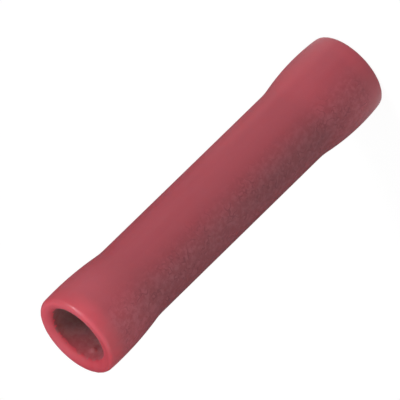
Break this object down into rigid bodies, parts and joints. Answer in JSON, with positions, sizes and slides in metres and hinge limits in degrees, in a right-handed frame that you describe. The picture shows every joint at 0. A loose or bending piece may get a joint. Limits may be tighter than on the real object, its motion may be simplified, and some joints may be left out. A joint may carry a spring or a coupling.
{
  "type": "insulated butt splice connector",
  "caption": "Insulated butt splice: a tinned copper crimp barrel inside a red vinyl sleeve with belled ends, for joining thin wires end to end.",
  "frame": {"origin": "centre of the lower end face, on which the part stands", "axes": "+Z along the axis of the sleeve and barrel, from the lower end to the upper end; X and Y are free, since the part is round"},
  "size_m": [0.0056, 0.0056, 0.025],
  "materials": {
    "red_vinyl": "satin moulded vinyl",
    "tinned_copper": "satin tin plate"
  },
  "bodies": {
    "root": {"insulating_sleeve": "red_vinyl", "crimp_barrel": "tinned_copper"}
  },
  "joints": []
}
